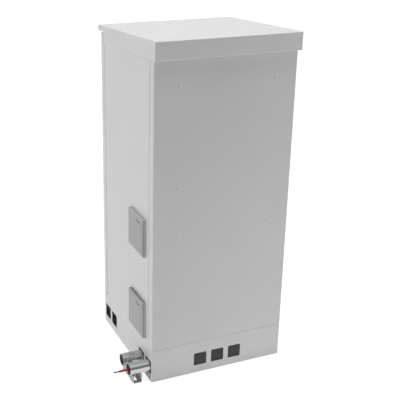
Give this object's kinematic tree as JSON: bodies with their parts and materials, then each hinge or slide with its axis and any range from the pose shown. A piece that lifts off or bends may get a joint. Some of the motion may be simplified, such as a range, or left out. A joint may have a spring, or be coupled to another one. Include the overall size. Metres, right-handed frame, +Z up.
{
  "type": "roadside utility cabinet",
  "caption": "Upright sheet-steel utility cabinet on a ported plinth, with a sloping roof, hinged door, side vent hoods and cable conduits on a strut channel.",
  "frame": {"origin": "on the floor at the centre of the anchor holes, under the middle of the body", "axes": "+Z up, +Y out of the door, -X out of the vented side where the conduits leave"},
  "size_m": [0.8325, 0.674, 1.5516],
  "materials": {
    "grey_powder_coat": "satin powder coat on sheet steel",
    "galvanised_steel": "hot-dip galvanised",
    "zinc_steel": "bright zinc plate",
    "black_plastic": "moulded, fine grain",
    "grey_plastic": "moulded, matt",
    "pale_plastic": "moulded, matt",
    "filter_mat": "fibre mat",
    "black_rubber": "cellular rubber",
    "red_insulation": "soft extruded sheath",
    "tinned_copper": "drawn, tinned",
    "brass": "drawn bar",
    "red_plastic": "moulded"
  },
  "bodies": {
    "cabinet": {"plinth": "grey_powder_coat", "floor_plate": "galvanised_steel", "left_side_panel": "grey_powder_coat", "right_side_panel": "grey_powder_coat", "rear_top_rail": "grey_powder_coat", "front_top_rail": "grey_powder_coat", "roof_rails": "galvanised_steel", "roof_bolts": "zinc_steel", "roof": "grey_powder_coat", "rear_cover": "grey_powder_coat", "cover_bolts": "zinc_steel", "cover_nuts": "zinc_steel", "plinth_bolts": "zinc_steel", "upper_mounting_plate": "galvanised_steel", "lower_mounting_plate": "galvanised_steel", "plate_spacers": "zinc_steel", "plate_screws": "zinc_steel", "plate_nuts": "zinc_steel", "equipment_rails": "galvanised_steel", "terminal_block": "black_plastic", "earth_bar": "brass", "earth_bar_posts": "red_plastic", "gland_plate": "galvanised_steel", "gland_plate_screws": "zinc_steel", "cable_gland": "black_plastic", "gland_locknut": "black_plastic", "upper_vent_hood": "grey_plastic", "lower_vent_hood": "grey_plastic", "hood_seals": "black_rubber", "hood_screws": "zinc_steel", "filter_frames": "pale_plastic", "vent_filters": "filter_mat", "rear_conduit": "galvanised_steel", "front_conduit": "galvanised_steel", "strut_channel": "galvanised_steel", "supply_cable": "red_insulation", "cable_tail": "red_insulation", "cable_core": "tinned_copper", "door_seal": "black_rubber", "hinge_frame_leaves": "zinc_steel", "hinge_pins": "zinc_steel", "hinge_frame_screws": "zinc_steel"},
    "door": {"door": "grey_powder_coat", "door_stiffeners": "galvanised_steel", "hinge_door_leaves": "zinc_steel", "hinge_door_screws": "zinc_steel", "handle_base": "black_plastic", "handle_screws": "zinc_steel"},
    "handle": {"handle_lever": "black_plastic", "latch_cam": "zinc_steel", "latch_nut": "zinc_steel"}
  },
  "joints": [
    {"name": "door_hinge", "type": "hinge", "parent": "cabinet", "child": "door", "pos_m": [0.333, 0.269, 0], "axis": [0, 0, -1], "range_deg": [0, 110]},
    {"name": "handle_turn", "type": "hinge", "parent": "door", "child": "handle", "pos_m": [-0.256, 0.3125, 0.82], "axis": [0, -1, 0], "range_deg": [0, 90]}
  ]
}
